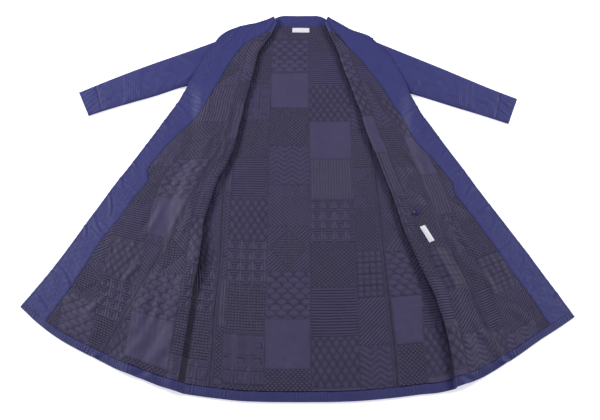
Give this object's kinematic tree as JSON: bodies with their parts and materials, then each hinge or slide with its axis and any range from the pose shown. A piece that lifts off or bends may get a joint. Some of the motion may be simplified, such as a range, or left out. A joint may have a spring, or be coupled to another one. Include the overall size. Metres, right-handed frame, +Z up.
{
  "type": "long coat",
  "caption": "Collarless flared long coat of thin quilted nylon, laid open on its back with both fronts folded out over the shoulders so that the quilted lining shows.",
  "frame": {"origin": "bottom centre of the bounding box, on the floor under the middle of the back", "axes": "+X from the left sleeve in the picture to the right one, +Y up the back from hem to neck, +Z up from the floor through the cloth"},
  "size_m": [1.3602, 1.1976, 0.025],
  "materials": {
    "shell_nylon": "smooth thin nylon, soft sheen",
    "quilted_lining": "quilted polyester lining, low sheen",
    "label_satin": "woven satin label, bare",
    "button_resin": "glossy resin"
  },
  "bodies": {
    "root": {"back_shell": "shell_nylon", "back_neck_facing": "shell_nylon", "hem_band_back": "shell_nylon", "side_shell_left": "shell_nylon", "front_shell_left": "shell_nylon", "front_facing_left": "shell_nylon", "hem_band_side_left": "shell_nylon", "hem_band_front_left": "shell_nylon", "sleeve_upper_left": "shell_nylon", "sleeve_under_left": "shell_nylon", "cuff_upper_left": "shell_nylon", "cuff_under_left": "shell_nylon", "side_shell_right": "shell_nylon", "front_shell_right": "shell_nylon", "front_facing_right": "shell_nylon", "hem_band_side_right": "shell_nylon", "hem_band_front_right": "shell_nylon", "sleeve_upper_right": "shell_nylon", "sleeve_under_right": "shell_nylon", "cuff_upper_right": "shell_nylon", "cuff_under_right": "shell_nylon", "back_lining": "quilted_lining", "side_lining_left": "quilted_lining", "front_lining_left": "quilted_lining", "side_lining_right": "quilted_lining", "front_lining_right": "quilted_lining", "neck_label": "label_satin", "care_label": "label_satin", "spare_button": "button_resin"}
  },
  "joints": []
}
